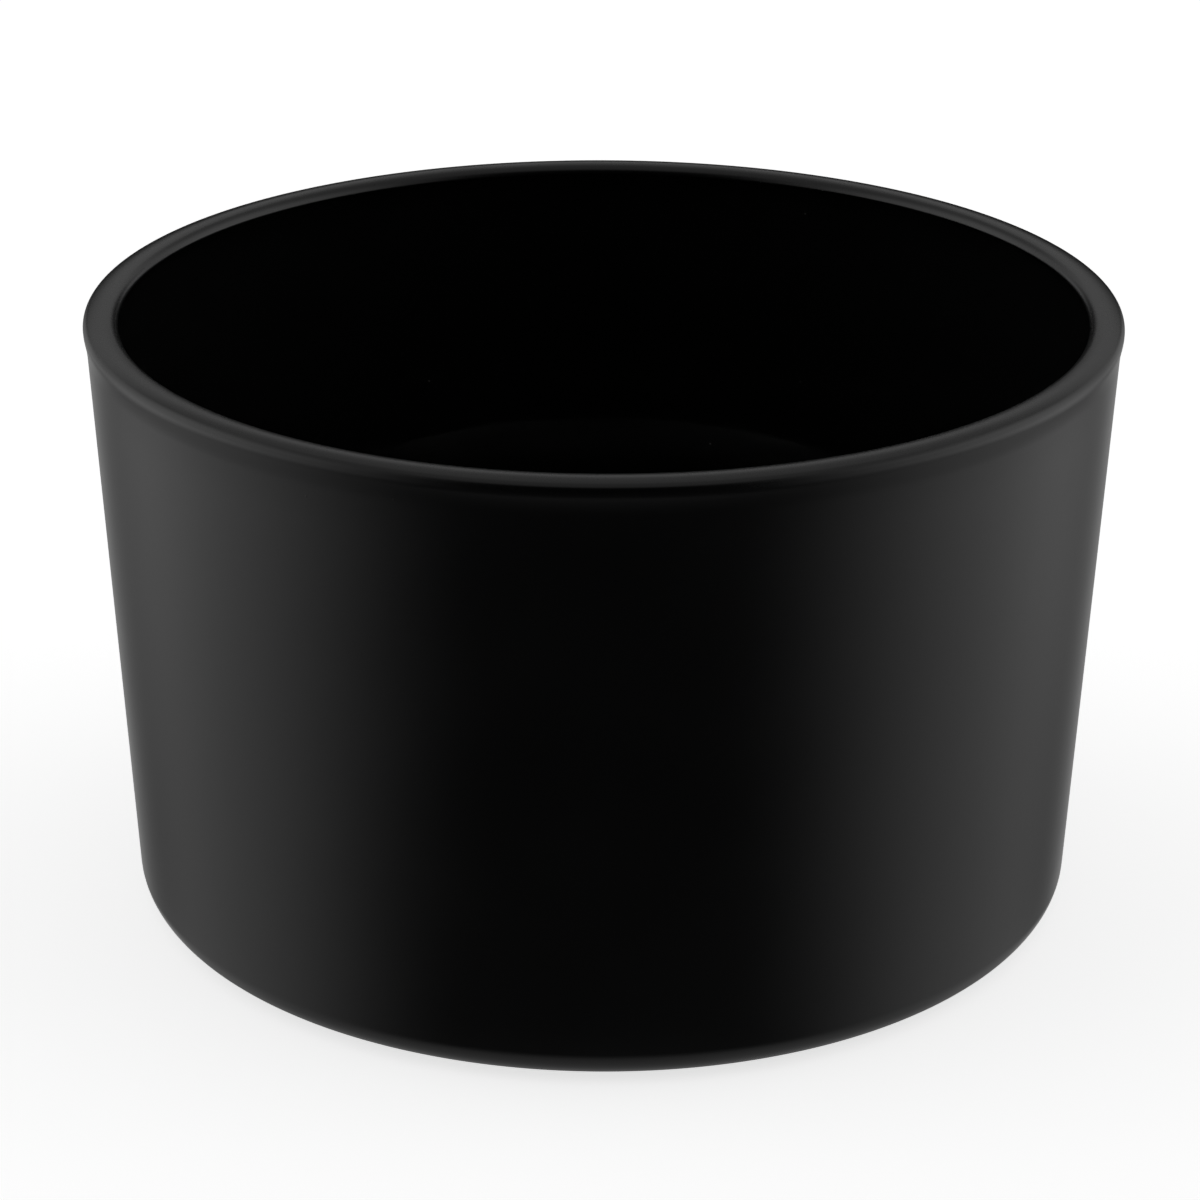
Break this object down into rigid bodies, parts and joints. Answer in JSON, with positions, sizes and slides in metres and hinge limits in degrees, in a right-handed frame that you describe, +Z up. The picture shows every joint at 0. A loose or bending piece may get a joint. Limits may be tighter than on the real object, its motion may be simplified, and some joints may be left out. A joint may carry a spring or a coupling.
{
  "type": "candle jar",
  "caption": "Wide, low round glass candle jar with a rounded rim, straight tapered wall and rounded heel, lacquered satin black outside; empty, no lid.",
  "frame": {"origin": "the jar's axis, at the level of the pip tips that it stands on", "axes": "+Z up along the jar's axis, out of its mouth; the jar is round, so +X and +Y are any two directions across it"},
  "size_m": [0.12, 0.12, 0.0719],
  "materials": {
    "clear_glass": "gloss",
    "black_lacquer": "satin"
  },
  "bodies": {
    "root": {"glass_body": "clear_glass", "exterior_coating": "black_lacquer"}
  },
  "joints": []
}
